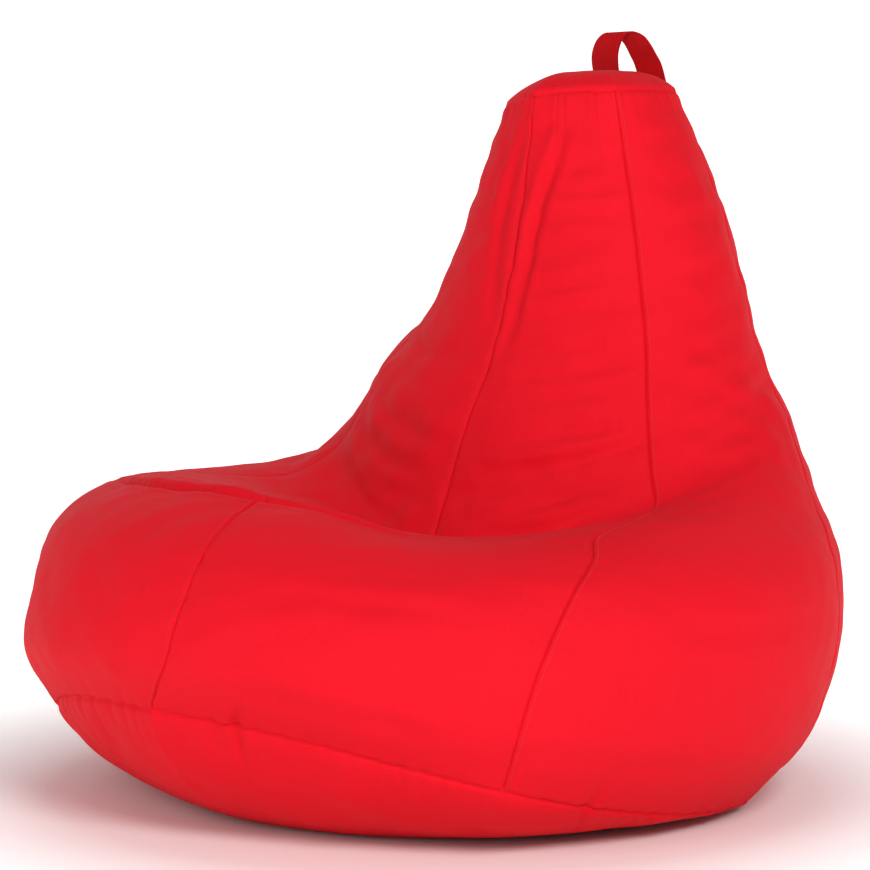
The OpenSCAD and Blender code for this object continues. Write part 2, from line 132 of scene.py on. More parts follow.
plan = raw_skin(*np.meshgrid(np.arange(0, 360, 1.2), np.linspace(0, TOP, 49), indexing="ij"))
middle = (plan.min((0, 1)) + plan.max((0, 1)))/2
middle[2] = 0


def skin(th, v):
    return raw_skin(th, v) - middle


def outward(th, v):
    v = np.clip(v, .02, TOP - .02)
    n = np.cross(skin(th + .5, v) - skin(th - .5, v), skin(th, v + .02) - skin(th, v - .02))
    return n/np.linalg.norm(n, axis=-1, keepdims=True)


def inset(th, v, depth):
    return skin(th, v) - np.asarray(depth)[..., None]*outward(th, v)


# Where the filled base meets the floor.
REST_WIDE, REST_DEEP, REST_BACK, UNDER_ROUND = .2765, .2660, -.01565, .65


def underside(th, w, depth):
    rim = inset(th, 0*th, depth + 0*th)
    a = np.radians(th)
    patch = np.stack([REST_WIDE*np.sin(a), REST_BACK - REST_DEEP*np.cos(a), 0*a], -1) - middle
    down = UNDER_ROUND*np.sin(np.pi/2*w) + (1 - UNDER_ROUND)*w
    out = UNDER_ROUND*(1 - np.cos(np.pi/2*w)) + (1 - UNDER_ROUND)*w
    xy = rim[..., :2] + (patch[..., :2] - rim[..., :2])*out[..., None]
    z = depth + (rim[..., 2] - depth)*(1 - down)
    return np.concatenate([xy, z[..., None]], -1)


def grid_faces(rows, cols, wrap=False, start=0, flip=False):
    faces = []
    for i in range(rows if wrap else rows - 1):
        a, b = start + i*cols, start + (i + 1) % rows*cols
        faces += [(a + j + 1, b + j + 1, b + j, a + j) if flip else (a + j, b + j, b + j + 1, a + j + 1)
                  for j in range(cols - 1)]
    return faces


def mesh_object(name, points, faces, lie=None, smooth=True):
    """A mesh piece; lie keeps each point's place on the flat cloth, in metres, for its weave."""
    mesh = bpy.data.meshes.new(name)
    mesh.from_pydata(np.asarray(points, float).reshape(-1, 3).tolist(), [], faces)
    if lie is not None:
        flat = np.zeros((len(mesh.vertices), 3))
        flat[:, :2] = np.asarray(lie, float).reshape(-1, 2)
        mesh.attributes.new("cloth", "FLOAT_VECTOR", "POINT").data.foreach_set("vector", flat.reshape(-1))
    if smooth:
        mesh.polygons.foreach_set("use_smooth", [True]*len(mesh.polygons))
    mesh.update()
    obj = bpy.data.objects.new(name, mesh)
    scene.collection.objects.link(obj)
    return obj


def srgb(r, g, b):
    return tuple((c/255/12.92 if c <= 10 else ((c/255 + .055)/1.055)**2.4) for c in (r, g, b)) + (1,)


class Wire:
    """A shader socket that adds its own Math nodes when it is used in a sum."""

    def __init__(self, finish, socket):
        self.finish, self.socket = finish, socket

    def math(self, how, a, b=None):
        return self.finish.node("ShaderNodeMath", {"operation": how}, {0: a} if b is None else {0: a, 1: b})

    def __add__(self, other):
        return self.math("ADD", self, other)

    def __sub__(self, other):
        return self.math("SUBTRACT", self, other)

    def __rsub__(self, other):
        return self.math("SUBTRACT", other, self)

    def __mul__(self, other):
        return self.math("MULTIPLY", self, other)

    def __pow__(self, other):
        return self.math("POWER", self, other)

    __radd__, __rmul__ = __add__, __mul__

    def sine(self):
        return self.math("SINE", self)

    def size(self):
        return self.math("ABSOLUTE", self)

    def clamped(self):
        return self.math("MINIMUM", self.math("MAXIMUM", self, 0), 1)


class Finish:
    """A surface finish: one principled shader with its fixed values set on its own sockets."""

    def __init__(self, name, **fixed):
        self.material = bpy.data.materials.new(name)
        self.material.use_nodes = True
        self.tree = self.material.node_tree
        self.tree.nodes.clear()
        out = self.tree.nodes.new("ShaderNodeOutputMaterial")
        self.shader = self.tree.nodes.new("ShaderNodeBsdfPrincipled")
        self.tree.links.new(self.shader.outputs[0], out.inputs["Surface"])
        for socket, value in fixed.items():
            self.shader.inputs[socket.replace("_", " ")].default_value = value

    def node(self, kind, settings=None, inputs=None, out=0):
        made = self.tree.nodes.new(kind)
        for key, value in (settings or {}).items():
            setattr(made, key, value)
        for key, value in (inputs or {}).items():
            if isinstance(value, Wire):
                self.tree.links.new(value.socket, made.inputs[key])
            else:
                made.inputs[key].default_value = value
        return Wire(self, made.outputs[out])

    def feed(self, socket, wire):
        self.tree.links.new(wire.socket, self.shader.inputs[socket])

    def place(self):
        return self.node("ShaderNodeTexCoord", out="Object")

    def noise(self, scale, detail=2, rough=.5, place=None):
        return self.node("ShaderNodeTexNoise", {},
                         {"Vector": place or self.place(), "Scale": scale,
                          "Detail": detail, "Roughness": rough})

    def flat(self):
        lie = self.node("ShaderNodeAttribute", {"attribute_name": "cloth"}, out="Vector")
        parts = self.node("ShaderNodeSeparateXYZ", inputs={0: lie})
        return Wire(self, parts.socket.node.outputs[0]), Wire(self, parts.socket.node.outputs[1])

    def tone(self, amount, one, two):
        return self.node("ShaderNodeMix", {"data_type": "RGBA"}, {0: amount, 6: one, 7: two}, out=2)

    def bump(self, height, distance, strength=1):
        self.feed("Normal", self.node("ShaderNodeBump", {},
                  {"Height": height, "Distance": distance, "Strength": strength}))


def dress(obj, finish, body="bag"):
    obj.data.materials.clear()
    obj.data.materials.append(finish.material)
    if body:
        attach(obj, body)
    return obj


def irregular(x, waves, seed):
    """A smooth uneven curve from -1 to 1 over x, which is counted in turns."""
    rng = np.random.default_rng(seed)
    out = sum(np.sin(2*np.pi*(k*x + rng.random())) for k in waves)
    return out/np.sqrt(len(waves))/1.6


COVER_THICK, LINER_THICK, LINER_GAP, BEAD_GAP, ZIP_ROOM = .0012, .0009, .003, .002, .004
FOLD_ROOM = .010
LINER_DEPTH = COVER_THICK + LINER_GAP
LINER_TOP = skin(np.arange(0, 360, 1.0), float(TOP))[:, 2].min() - .014
BEAD_DEPTH, BEAD_DROP, BEAD_TOP_V = LINER_DEPTH + LINER_THICK + BEAD_GAP, .006, 13.7


def zip_allowance(th):
    return ZIP_ROOM*near(turned(th - CENTRE_BACK), CENTRE_WIDTH)


bead_th = np.arange(0, 360, 2.5)
bead_rows = [underside(bead_th, w, BEAD_DEPTH + FOLD_ROOM + zip_allowance(bead_th))
             for w in np.linspace(1, .1, 9)]
for v in np.linspace(0, BEAD_TOP_V, 76):
    lump = .0008*irregular(bead_th/360 + v/9, (23, 31, 44), 5)
    bead_rows.append(inset(bead_th, np.full_like(bead_th, v),
                           BEAD_DEPTH + FOLD_ROOM + zip_allowance(bead_th) - lump))
rim_low = bead_rows[-1].copy()
rim_low[:, 2] = LINER_TOP - BEAD_DROP
bead_rows = [r for r in bead_rows if r[:, 2].max() < LINER_TOP - BEAD_DROP] + [rim_low]
for w in (.3, .6, .85):
    bead_rows.append(rim_low*(1 - w) + rim_low.mean(0)*w)
bead_grid = np.stack(bead_rows, 1)
n, m = bead_grid.shape[:2]
bead_faces = grid_faces(n, m, wrap=True)
bead_faces += [tuple(i*m for i in range(n))[::-1], tuple(i*m + m - 1 for i in range(n))]
bead_heap = mesh_object("bead_filling", bead_grid, bead_faces)
beads = Finish("polystyrene_beads", Roughness=.55, Subsurface_Weight=.15,
               Subsurface_Radius=(.004, .004, .004))
balls = beads.node("ShaderNodeTexVoronoi", {"feature": "F1"},
                   {"Vector": beads.place(), "Scale": 210.0, "Randomness": .8})
# Each bead is white at its middle and greyer towards its rim: painted shade round each bead and in the gaps
# between the beads.
beads.feed("Base Color", beads.tone(balls*1.1, srgb(250, 250, 250), srgb(206, 208, 212)))
beads.bump(1 - balls, .0022)
dress(bead_heap, beads)
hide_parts("bead_fill")

# ---------------------------------------------------------------------------
# Liner: white non-woven polypropylene, six gores, a base and a two-piece top,
# overlocked together inside the cover and filled through its own short zip.
# ---------------------------------------------------------------------------
liner_cloth = Finish("liner_nonwoven", Roughness=.85, Sheen_Weight=.1)
dimple_u, dimple_v = liner_cloth.flat()
dimple = (dimple_u*1260).sine()*(dimple_v*1260).sine()
fleck = liner_cloth.noise(900.0, 3)
liner_cloth.feed("Base Color", liner_cloth.tone(fleck, srgb(238, 238, 233), srgb(222, 222, 216)))
liner_cloth.bump(dimple*.6 + fleck, .0002)
LINER_TOP_V = 13.8
GORE_SIDES = ["front_right", "right", "back_right", "back_left", "left", "front_left"]


def spread(points):
    """The flat place of each point of a grid, measured along its rows and its columns."""
    across = np.zeros(points.shape[:2])
    across[1:] = np.cumsum(np.linalg.norm(np.diff(points, axis=0), axis=-1), 0)
    along = np.zeros(points.shape[:2])
    along[:, 1:] = np.cumsum(np.linalg.norm(np.diff(points, axis=1), axis=-1), 1)
    return np.stack([across - across[-1:]/2, along], -1)


def cut_size(points):
    """Widest, longest and area of a cut panel, from the lie of its sewn shape."""
    wide = np.linalg.norm(np.diff(points, axis=0), axis=-1).sum(0)
    long = np.linalg.norm(np.diff(points, axis=1), axis=-1).sum(1)
    a = points[1:, :-1] - points[:-1, :-1]
    b = points[:-1, 1:] - points[:-1, :-1]
    area = np.linalg.norm(np.cross(a, b), axis=-1).sum()
    return (float(wide.max()), float(long.max())), float(min(area, .98*wide.max()*long.max()))


def liner_ripple(th, v):
    return (.0007*irregular(th/360, (17, 29, 41), 11)*np.sin(2.3*v)
            + .0005*irregular(v/TOP + th/360, (19, 33), 12))


for i, side in enumerate(GORE_SIDES):
    th, v = np.meshgrid(GORE*i + np.linspace(.05, GORE - .05, 25),
                        np.linspace(0, LINER_TOP_V, 76), indexing="ij")
    grid = inset(th, v, LINER_DEPTH + FOLD_ROOM + zip_allowance(th) - liner_ripple(th, v)*np.clip(v, 0, 1))
    grid = grid[:, (grid[:, :, 2] < LINER_TOP - .002).all(0)]
    last = grid[:, -1:].copy()
    last[..., 2] = LINER_TOP
    grid = np.concatenate([grid, last], 1)
    panel = mesh_object("liner_gore_piece_" + side, grid, grid_faces(*grid.shape[:2]), spread(grid))
    dress(panel, liner_cloth)
    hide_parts("liner_gore_" + side)
    flat, area = cut_size(grid)

base_th = np.arange(0, 360, 3.0)
liner_under = np.stack([underside(base_th, w, LINER_DEPTH + FOLD_ROOM + zip_allowance(base_th))
                        for w in np.linspace(0, 1, 16)]
                       + [underside(base_th, 1.0, LINER_DEPTH + FOLD_ROOM)*(1 - w)
                          + np.array([*(-middle[:2]), LINER_DEPTH + FOLD_ROOM])*w
                          for w in (.35, .7, .97)], 1)
n, m = liner_under.shape[:2]
liner_floor = mesh_object("liner_base_piece", liner_under, grid_faces(n, m, wrap=True, flip=True)
                          + [tuple(i*m + m - 1 for i in range(n))], liner_under[..., :2])
dress(liner_floor, liner_cloth)
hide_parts("liner_base")

LINER_ZIP, ZIP_SLOT = .150, .0046
rim_th = np.arange(0, 360, 1.0)
liner_rim = inset(rim_th, np.full_like(rim_th, LINER_TOP_V), LINER_DEPTH + FOLD_ROOM + zip_allowance(rim_th))
liner_mid = liner_rim.mean(0)
for side, way in (("front", -1), ("back", 1)):
    half = liner_rim[way*(liner_rim[:, 1] - liner_mid[1]) > .0002]
    half = half[np.argsort(half[:, 0])]
    xs = np.unique(np.concatenate([np.linspace(half[0, 0], half[-1, 0], 60),
                                   liner_mid[0] + np.array([-.0751, -.0749, .0749, .0751])]))
    edge = np.interp(xs, half[:, 0], half[:, 1])
    inner = np.where(np.abs(xs - liner_mid[0]) < LINER_ZIP/2,
                     liner_mid[1] + way*ZIP_SLOT, liner_mid[1] + way*.0002)
    t = np.linspace(0, 1, 12)
    ys = inner[:, None] + (edge - inner)[:, None]*t
    crinkle = .0004*np.sin(140*xs)[:, None]*np.sin(np.pi*t)
    top = np.stack([np.broadcast_to(xs[:, None], ys.shape), ys, LINER_TOP + .0003 + LINER_THICK + crinkle], -1)
    lid = mesh_object("liner_top_piece_" + side, top, grid_faces(*top.shape[:2], flip=way < 0), top[..., :2])
    dress(lid, liner_cloth)
    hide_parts("liner_cap_" + side)
    flat, area = cut_size(top)

# ---------------------------------------------------------------------------
# Liner zip: a 150 mm nylon coil zip across the liner's top, its woven tapes sewn
# under the edges of the slot. The slider has no tab, so that children can't open it.
# ---------------------------------------------------------------------------
ZIP_SPLIT, TAPE_WIDE, TAPE_THICK, TAPE_DROP = .0014, .014, .0007, .0022
COIL_WIDE, COIL_HIGH, COIL_WIRE, COIL_PITCH, TAPE_TAIL, STOP_LONG = .0025, .0018, .00030, .0020, .008, .004


def zip_tape(name, at, start, end, side, drop, finish, node):
    """A woven tape along the zip; at(s, across, up) gives the place of a point of the zip."""
    along = np.arange(start, end + .001, .0025)
    ridge = np.linspace(ZIP_SPLIT/2, ZIP_SPLIT/2 + TAPE_WIDE, 15)
    section = [(a, -drop + .00006*math.cos(i*math.pi)) for i, a in enumerate(ridge)]
    section += [(a, -drop - TAPE_THICK) for a in ridge[::-1]]
    section.append(section[0])
    grid = np.array([[at(s, side*a, u) for a, u in section] for s in along])
    lie = np.array([[(side*a, s) for a, u in section] for s in along])
    tape = mesh_object(name, grid, grid_faces(*grid.shape[:2], flip=side > 0), lie)
    dress(tape, finish)
    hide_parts(node)
    return tape


def zip_coil(name, at, start, end, side, drop, finish, node):
    """Real turns of nylon monofilament, sewn along the edge of the tape."""
    turns = int((end - start)/COIL_PITCH)
    a = np.arange(turns*10 + 1)*2*np.pi/10
    reach, lift = COIL_WIDE/2 - COIL_WIRE, COIL_HIGH/2 - COIL_WIRE
    s = start + COIL_PITCH*(a/(2*np.pi) + (.25 if side > 0 else 0))
    heart = np.stack([s, side*(ZIP_SPLIT/2 + COIL_WIDE/2 + reach*np.cos(a)),
                      -drop + COIL_HIGH/2 + lift*np.sin(a)], -1)
    ahead = np.gradient(heart, axis=0)
    ahead /= np.linalg.norm(ahead, axis=1, keepdims=True)
    one = np.cross(ahead, [1.0, 0, 0])
    one /= np.linalg.norm(one, axis=1, keepdims=True)
    two = np.cross(ahead, one)
    b = np.arange(6)*2*np.pi/5
    local = heart[:, None] + COIL_WIRE*(np.cos(b)[None, :, None]*one[:, None]
                                        + np.sin(b)[None, :, None]*two[:, None])
    grid = np.array([[at(*p) for p in row] for row in local])
    coil = mesh_object(name, grid, grid_faces(*grid.shape[:2]))
    dress(coil, finish)
    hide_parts(node)
    return coil


def tape_finish(name, pale, dark):
    made = Finish(name, Roughness=.75, Sheen_Weight=.15)
    u, v = made.flat()
    rib = (v*5200).sine()*.5 + (u*2600).sine()*.5
    made.feed("Base Color", made.tone((rib*.5 + .5).clamped(), dark, pale))
    made.bump(rib, .00015)
    return made


def coil_finish(name, colour):
    made = Finish(name, Roughness=.3)
    grain = made.noise(500.0, 2)
    made.feed("Base Color", made.tone(grain, colour, tuple(c*.86 for c in colour[:3]) + (1,)))
    made.feed("Roughness", grain*.15 + .25)
    return made


def liner_zip_at(s, across, up):
    return liner_mid[0] + s, liner_mid[1] - across, LINER_TOP + .0003 + LINER_THICK + up


liner_tape, liner_coil = tape_finish("liner_zip_tape", srgb(236, 236, 230), srgb(204, 204, 198)), \
    coil_finish("liner_zip_nylon", srgb(226, 226, 220))
for side, way in (("front", 1), ("back", -1)):
    half = LINER_ZIP/2
    zip_tape("liner_zip_tape_piece_" + side, liner_zip_at, -half - TAPE_TAIL, half + TAPE_TAIL, way,
             LINER_THICK + TAPE_DROP, liner_tape, "liner_zip_tape_" + side)
    zip_coil("liner_zip_coil_piece_" + side, liner_zip_at, -half + STOP_LONG, half - STOP_LONG, way,
             LINER_THICK + TAPE_DROP, liner_coil, "liner_zip_coil_" + side)
zip_metal = Finish("zip_metal", Metallic=1.0)
wear = zip_metal.noise(140.0, 4, .6)
fine = zip_metal.noise(1900.0, 2)
zip_metal.feed("Base Color", zip_metal.tone(wear, srgb(196, 197, 200), srgb(150, 151, 156)))
zip_metal.feed("Roughness", wear*.25 + .2)
zip_metal.bump(fine, .00004)


def refinish(node, finish):
    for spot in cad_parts[node].material_slots:
        spot.material = finish.material


for node in ("liner_zip_stop_left", "liner_zip_stop_right", "liner_zip_slider"):
    refinish(node, zip_metal)

# ---------------------------------------------------------------------------
# Cover gores: six panels of red polyester, each cut wide at the hips and narrow
# at the neck and sewn edge to edge. A coarse closed copy of the cover is given
# spare cloth between its taut seams and blown gently against the filling, and
# the small moves it makes are carried to the finely cut panels.
# ---------------------------------------------------------------------------
SETTLE_ACROSS, SETTLE_UP, SETTLE_FRAMES = 30, 110, 20
MOST_MOVE = .005
settle_th = np.arange(0, 360, GORE/SETTLE_ACROSS)
settle_v = np.linspace(0, TOP, SETTLE_UP + 1)
moves = np.zeros((len(settle_th), len(settle_v), 3))


def seam_gap(th):
    return np.minimum(th % GORE, GORE - th % GORE)


def closed_cover(body):
    n, m = body.shape[:2]
    faces, points, count = grid_faces(n, m, wrap=True), [body.reshape(-1, 3)], n*m
    for end in (0, m - 1):
        last, rim = [i*m + end for i in range(n)], body[:, end]
        for w in np.linspace(0, 1, 7)[1:-1]:
            points.append(rim*(1 - w) + rim.mean(0)*w + np.array([0, 0, .011*w]) if end else
                          underside(settle_th, w, .002))
            ring = list(range(count, count + n))
            faces += [(last[i], last[(i + 1) % n], ring[(i + 1) % n], ring[i]) if end else
                      (last[(i + 1) % n], last[i], ring[i], ring[(i + 1) % n]) for i in range(n)]
            last, count = ring, count + n
        faces.append(tuple(last if end else last[::-1]))
    return np.concatenate(points), faces


def settle_cloth():
    th, v = np.meshgrid(settle_th, settle_v, indexing="ij")
    body = skin(th, v) - .002*outward(th, v)
    n, m = body.shape[:2]
    points, faces = closed_cover(body)
    points = points + np.random.default_rng(7).normal(0, .0002, points.shape)
    cloth = mesh_object("settling_cloth", points, faces)
    spare = (1 - np.exp(-(seam_gap(th)/6)**2))*(.12 + .88*near(v - 9.6, 3.4) + .5*near(v - 13, 2))
    hold, taut = cloth.vertex_groups.new(name="hold"), cloth.vertex_groups.new(name="taut")
    flat = spare.reshape(-1)
    for i in range(len(points)):
        hold.add([i], .25 if i < n*m else 1, "REPLACE")
        taut.add([i], float(1 - min(1, flat[i])) if i < n*m else 1, "REPLACE")
    drape = cloth.modifiers.new("drape", "CLOTH")
    s = drape.settings
    s.quality, s.mass = 5, .2
    s.tension_stiffness = s.compression_stiffness = 20
    s.shear_stiffness, s.bending_stiffness = 8, 3
    s.vertex_group_mass, s.pin_stiffness = "hold", .6
    s.vertex_group_shrink, s.shrink_min, s.shrink_max = "taut", -.022, 0
    s.use_pressure, s.uniform_pressure_force = True, 4
    s.effector_weights.gravity = 0
    drape.collision_settings.use_collision = False
    drape.point_cache.frame_start, drape.point_cache.frame_end = 1, SETTLE_FRAMES
    for f in range(1, SETTLE_FRAMES + 1):
        scene.frame_set(f)
    seen = cloth.evaluated_get(bpy.context.evaluated_depsgraph_get())
    out = np.zeros(len(seen.data.vertices)*3)
    seen.data.vertices.foreach_get("co", out)
    scene.frame_set(1)
    moved = (out.reshape(-1, 3)[:n*m] - body.reshape(-1, 3)).reshape(n, m, 3)
    bpy.data.objects.remove(cloth)
    for _ in range(2):
        moved = (np.roll(moved, 1, 0) + 2*moved + np.roll(moved, -1, 0))/4
        moved[:, 1:-1] = (moved[:, :-2] + 2*moved[:, 1:-1] + moved[:, 2:])/4
    swell = (moved*outward(th, v)).sum(-1).mean()
    moved = moved - swell*outward(th, v)
    size = np.linalg.norm(moved, axis=-1, keepdims=True)
    moved *= MOST_MOVE*np.tanh(size/MOST_MOVE)/np.maximum(size, 1e-9)
    return moved*(np.clip(np.minimum(settle_v, TOP - settle_v)/.9, 0, 1)**2)[None, :, None]


moves = settle_cloth()


def settled(th, v):
    """The move of the settled cloth at th, v, smoothly read between its points."""
    a = np.asarray(th) % 360/(GORE/SETTLE_ACROSS)
    b = np.clip(np.asarray(v)/TOP*SETTLE_UP, 0, SETTLE_UP - 1e-6)
    i, j = np.floor(a).astype(int), np.floor(b).astype(int)
    f, g = (a - i)[..., None], (b - j)[..., None]

    def column(k):
        return catmull(*[moves[(i + k) % len(settle_th), np.clip(j + o, 0, SETTLE_UP)]
                         for o in (-1, 0, 1, 2)], g)
    return catmull(column(-1), column(0), column(1), column(2), f)


# Folds pressed into the cloth: lines of angle and ring, each with a depth and a half width in metres.
FOLDS = [
    ([(-45, 4.25), (-15, 4.5), (25, 5.25)], .0090, .007),
    ([(-50, 4.75), (-25, 5), (0, 5.25)], .0030, .010),
    ([(25, 13.5), (10, 12.5), (5, 11)], .0065, .008),
    ([(-5, 13.5), (-10, 12.5), (-5, 11.5)], .0040, .009),
    ([(240, 4), (230, 3.5), (220, 3)], .0035, .013)]
# One pucker a quarter of the way along each gore's base seam, the deepest under the front lobe.
PUCKERS = [(GORE*(gore + .25), .0060 if gore == 0 else .0030) for gore in range(6)]
for at, deep in PUCKERS:
    FOLDS.append(([(at, 0), (at, .25), (at, .5)], deep, .006))


def fold_rows(first, last, low, high, count, deep, half, seed):
    """Soft folds one above the other between two angles, each bowed and ending in its own place."""
    for k, ring in enumerate(np.linspace(low, high, count)):
        a, b, bow = irregular(np.array([.1, .4, .7]) + k/count, (1, 2, 3), seed + k)
        spare = (last - first)/6
        start, end = first + spare*(1 + a), last - spare*(1 + b)
        FOLDS.append(([(start, ring), ((start + end)/2, ring + .15*bow), (end, ring)],
                      deep*(.6 + .5*abs(b)), half*(.9 + .3*abs(a))))


# Where the seat meets the back, gore by gore, then up the back, then low on the belly.
fold_rows(0, 60, 8.5, 9.75, 5, .0065, .010, 10)
fold_rows(-60, 0, 8.5, 9.75, 4, .0055, .012, 20)
fold_rows(60, 120, 8.75, 9.75, 3, .0035, .011, 30)
fold_rows(240, 300, 8.5, 9.5, 2, .0045, .013, 35)
fold_rows(0, 60, 10, 13.5, 11, .0030, .009, 40)
for gore, rows in ((-60, 8), (60, 7), (120, 5), (180, 5), (240, 5)):
    fold_rows(gore, gore + 60, 10, 13.25, rows, .0026, .010, 60 + gore//10)
for gore in (0, 60, 180, 240):
    fold_rows(gore, gore + 60, .75, 2.5, 2, .0022, .012, 90 + gore//10)


def through(points, steps):
    """A smooth line through a few points."""
    p = np.asarray(points, float)
    p = np.concatenate([2*p[:1] - p[1:2], p, 2*p[-1:] - p[-2:-1]])
    u = np.linspace(0, len(points) - 1, steps)
    i = np.minimum(np.floor(u).astype(int), len(points) - 2)
    return catmull(p[i], p[i + 1], p[i + 2], p[i + 3], (u - i)[:, None])


def pressed(points, th, v):
    """How far the folds push the cloth in or out at each point."""
    out = np.zeros(points.shape[:2])
    for line, deep, half in FOLDS:
        path = through(line, 48)
        spot = skin(path[:, 0] % 360, path[:, 1])
        reach = 4*half
        lo, hi = spot.min(0) - reach, spot.max(0) + reach
        at = np.argwhere(((points > lo) & (points < hi)).all(-1))
        if not len(at):
            continue
        p = points[at[:, 0], at[:, 1]]
        gap = np.linalg.norm(p[:, None] - spot[None], axis=-1)
        best = gap.argmin(1)
        t = best/(len(spot) - 1)
        g = gap[np.arange(len(p)), best]/half
        fade = np.sin(np.pi*np.clip(.06 + .88*t, 0, 1))**.8
        if min(line[0][1], line[-1][1]) <= 0:
            fade = np.cos(np.pi/2*t)
        upward = np.sign(v[at[:, 0], at[:, 1]] - path[best, 1])
        lip = .38*np.exp(-((g - 1.9)/.95)**2)*(1 + .5*upward)
        out[at[:, 0], at[:, 1]] += deep*fade*(lip - np.exp(-g**2))
    return out


def pinch(x, count, seed):
    """Uneven gathers round a seam: sharp valleys between soft rolls, x in turns round it."""
    warp = .9*irregular(x, (5, 8, 13), seed)
    deep = .35 + .65*np.clip(.5 + .8*irregular(x, (7, 11, 19, 27), seed + 1), 0, 1)
    return -deep*(1 - np.abs(np.sin(np.pi*(count*x + warp))))**2.0


SEAM_DEEP, SEAM_HALF, FELL_WIDE, FELL_HIGH, STITCH_IN = .0022, .0020, .0066, .0007, .0052
BASE_GATHERS, CAP_GATHERS, SEAM_GATHERS = 84, 42, 40


def base_gather(th):
    return pinch(th/360, BASE_GATHERS, 60)


def cap_gather(th):
    return pinch(th/360, CAP_GATHERS, 70)


def end_relief(th, from_base, from_cap):
    low = -.0030*np.exp(-(from_base/.0030)**2) + .0038*base_gather(th)*np.exp(-from_base/.024)
    low = low + .0006*np.exp(-((from_base - .014)/.012)**2)
    high = -.0030*np.exp(-(from_cap/.0030)**2) + .0032*cap_gather(th)*np.exp(-from_cap/.030)
    return low + high + .0010*np.exp(-((from_cap - .011)/.007)**2)


def lumps(p):
    return (.0011*np.sin(p[..., 0]*47 + 2*np.sin(p[..., 2]*23) + 1)*np.sin(p[..., 2]*39 + p[..., 1]*21)
            + .0006*np.sin(p[..., 0]*88 - p[..., 1]*61 + 2)*np.sin(p[..., 2]*95 + 1.3*np.sin(p[..., 1]*57)))


EDGE_STEPS = np.array([0, .0008, .0016, .0026, .0039, .0052, .0066, .0084, .011, .0145, .019, .025])
INNER_STEPS = 62
row_steps = np.concatenate([[0, .012, .026, .042, .06, .082, .11, .145, .185, .23],
                            np.arange(.28, 13.70, .056),
                            [13.74, 13.79, 13.835, 13.87, 13.9, 13.925, 13.947, 13.965, 13.98, 13.99, 14]])
ZIP_FIRST_V, ZIP_LAST_V = 2*TOP/24, 16*TOP/24
gore_shapes = {}


def cover_gore(i):
    fine = np.linspace(0, GORE, 121)
    sample = skin(*np.meshgrid(GORE*i + fine, row_steps, indexing="ij"))
    arc = np.zeros(sample.shape[:2])
    arc[1:] = np.cumsum(np.linalg.norm(np.diff(sample, axis=0), axis=-1), 0)
    opened = ZIP_SLOT*np.clip(np.minimum(row_steps - ZIP_FIRST_V, ZIP_LAST_V - row_steps)/.05 + 1, 0, 1)
    th, v, s = [], [], []
    for k, row in enumerate(row_steps):
        full = arc[-1, k]
        first, last = (opened[k] if i == 3 else 0), full - (opened[k] if i == 2 else 0)
        spot = np.concatenate([first + EDGE_STEPS,
                               np.linspace(first + .025, last - .025, INNER_STEPS + 2)[1:-1],
                               (last - EDGE_STEPS)[::-1]])
        th.append(GORE*i + np.interp(spot, arc[:, k], fine))
        s.append(spot)
        v.append(np.full_like(spot, row))
    th, v, s = np.array(th).T, np.array(v).T, np.array(s).T
    full = arc[-1][None, :]
    base = skin(th, v)
    normal = outward(th, v)
    step = np.linalg.norm(np.diff(base, axis=1), axis=-1)
    from_base = np.concatenate([np.zeros((len(base), 1)), np.cumsum(step, 1)], 1)
    from_cap = from_base[:, -1:] - from_base
    left, right = s, full - s
    up = from_base/1.6
    rise = -.0024*(np.exp(-left/.020) + np.exp(-right/.020))
    for seam, gap in ((i, left), (i + 1, right)):
        zipped = (seam == 3)*np.clip(np.minimum(v - ZIP_FIRST_V, ZIP_LAST_V - v)/.05 + 1, 0, 1)
        rise = rise - (1 - zipped)*SEAM_DEEP*np.exp(-(gap/SEAM_HALF)**2)
        rise = rise - zipped*.0024*np.exp(-((gap - ZIP_SLOT)/.0035)**2)
        rise = rise + .0013*pinch(up + .3*seam, SEAM_GATHERS, 80 + 3*(seam % 6))*np.exp(-gap/.022)
        felled = gap if (seam % 6 == 0 and seam != i) or (seam % 6 != 0 and seam == i) else None
        if felled is not None:
            strip = np.clip(felled/.0012, 0, 1)*np.clip((FELL_WIDE - felled)/.0012, 0, 1)*(1 - zipped)
            rise = rise + FELL_HIGH*strip - .0007*np.exp(-((felled - STITCH_IN)/.0008)**2)*(1 - zipped)
    rise = rise + end_relief(th, from_base, from_cap) + pressed(base, th, v)
    quiet = np.clip(np.minimum(from_base, from_cap)/.05, 0, 1)
    free = (1 - np.exp(-np.minimum(left, right)/.012))[..., None]
    grid = base + normal*(rise + lumps(base)*quiet)[..., None] + settled(th, v)*free
    # Turned-in edges, sewn back against the next panel or over the zip tape.
    sides = []
    for edge in (0, -1):
        zipped = ((i == 3 and edge == 0) or (i == 2 and edge == -1))*(opened/ZIP_SLOT)
        under = grid[edge] - normal[edge]*(COVER_THICK + zipped*.0012)[:, None]
        inner = grid[5 if edge == 0 else -6] - normal[edge]*(COVER_THICK*1.4 + zipped*.0004)[:, None]
        sides.append((under, inner))
    return np.concatenate([sides[0][1][None], sides[0][0][None], grid,
                           sides[1][0][None], sides[1][1][None]], 0)


cover_cloth = Finish("cover_polyester", Specular_IOR_Level=.10, Sheen_Weight=.02, Sheen_Roughness=.4,
                     Sheen_Tint=(1, .6, .6, 1))
THREADS = 5200.0


def woven(made, light, dark, threads):
    u, v = made.flat()
    yarn = (u*threads).sine()*(v*threads).sine()
    cloud, slub = made.noise(7.0, 3), made.noise(160.0, 3, .6)
    crumple = made.noise(46.0, 4, .55)
    made.feed("Base Color", made.tone((cloud*.55 + slub*.45 + yarn*.10).clamped(), dark, light))
    made.feed("Roughness", slub*.10 + cloud*.06 + .66)
    made.bump(crumple*.55 + slub*.12 + yarn*.05, .0011)


